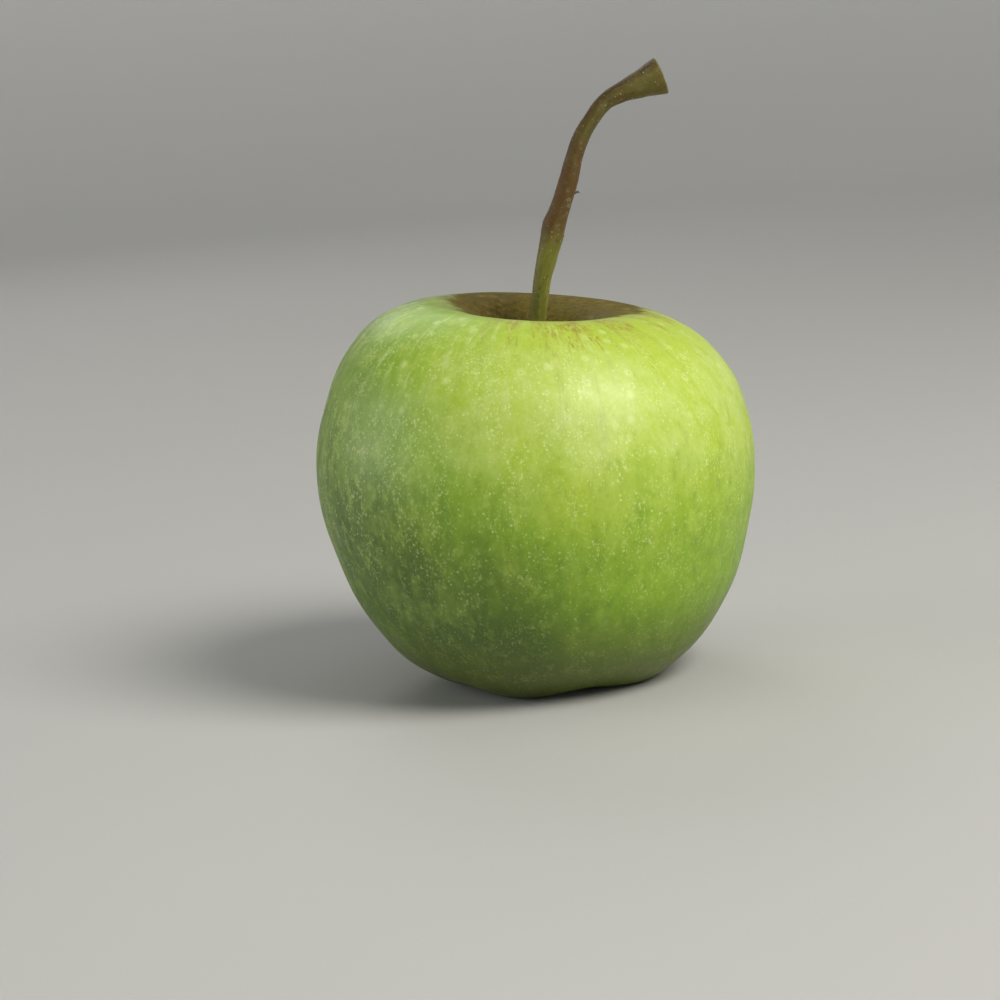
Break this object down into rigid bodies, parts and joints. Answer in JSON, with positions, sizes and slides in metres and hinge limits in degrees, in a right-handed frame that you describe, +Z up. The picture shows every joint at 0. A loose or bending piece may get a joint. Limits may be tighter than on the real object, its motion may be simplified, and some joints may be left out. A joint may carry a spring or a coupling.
{
  "type": "apple",
  "caption": "Whole green table apple with its long curved stalk still on, round and slightly lopsided, standing on the lobes round its calyx basin",
  "frame": {"origin": "on the surface that the fruit stands on, under the middle of its bounding box", "axes": "+Z up along the fruit's axis, from the calyx basin to the stalk; +X to the side that the stalk bends over to, which is also the lower side of the rim; +Y to the back"},
  "size_m": [0.0661, 0.066, 0.0918],
  "materials": {
    "skin": "satin",
    "stalk": "satin",
    "calyx": "matte"
  },
  "bodies": {
    "root": {"fruit": "skin", "stem": "stalk", "sepal_1": "calyx", "sepal_2": "calyx", "sepal_3": "calyx", "sepal_4": "calyx", "sepal_5": "calyx", "stamen_tuft": "calyx"}
  },
  "joints": []
}
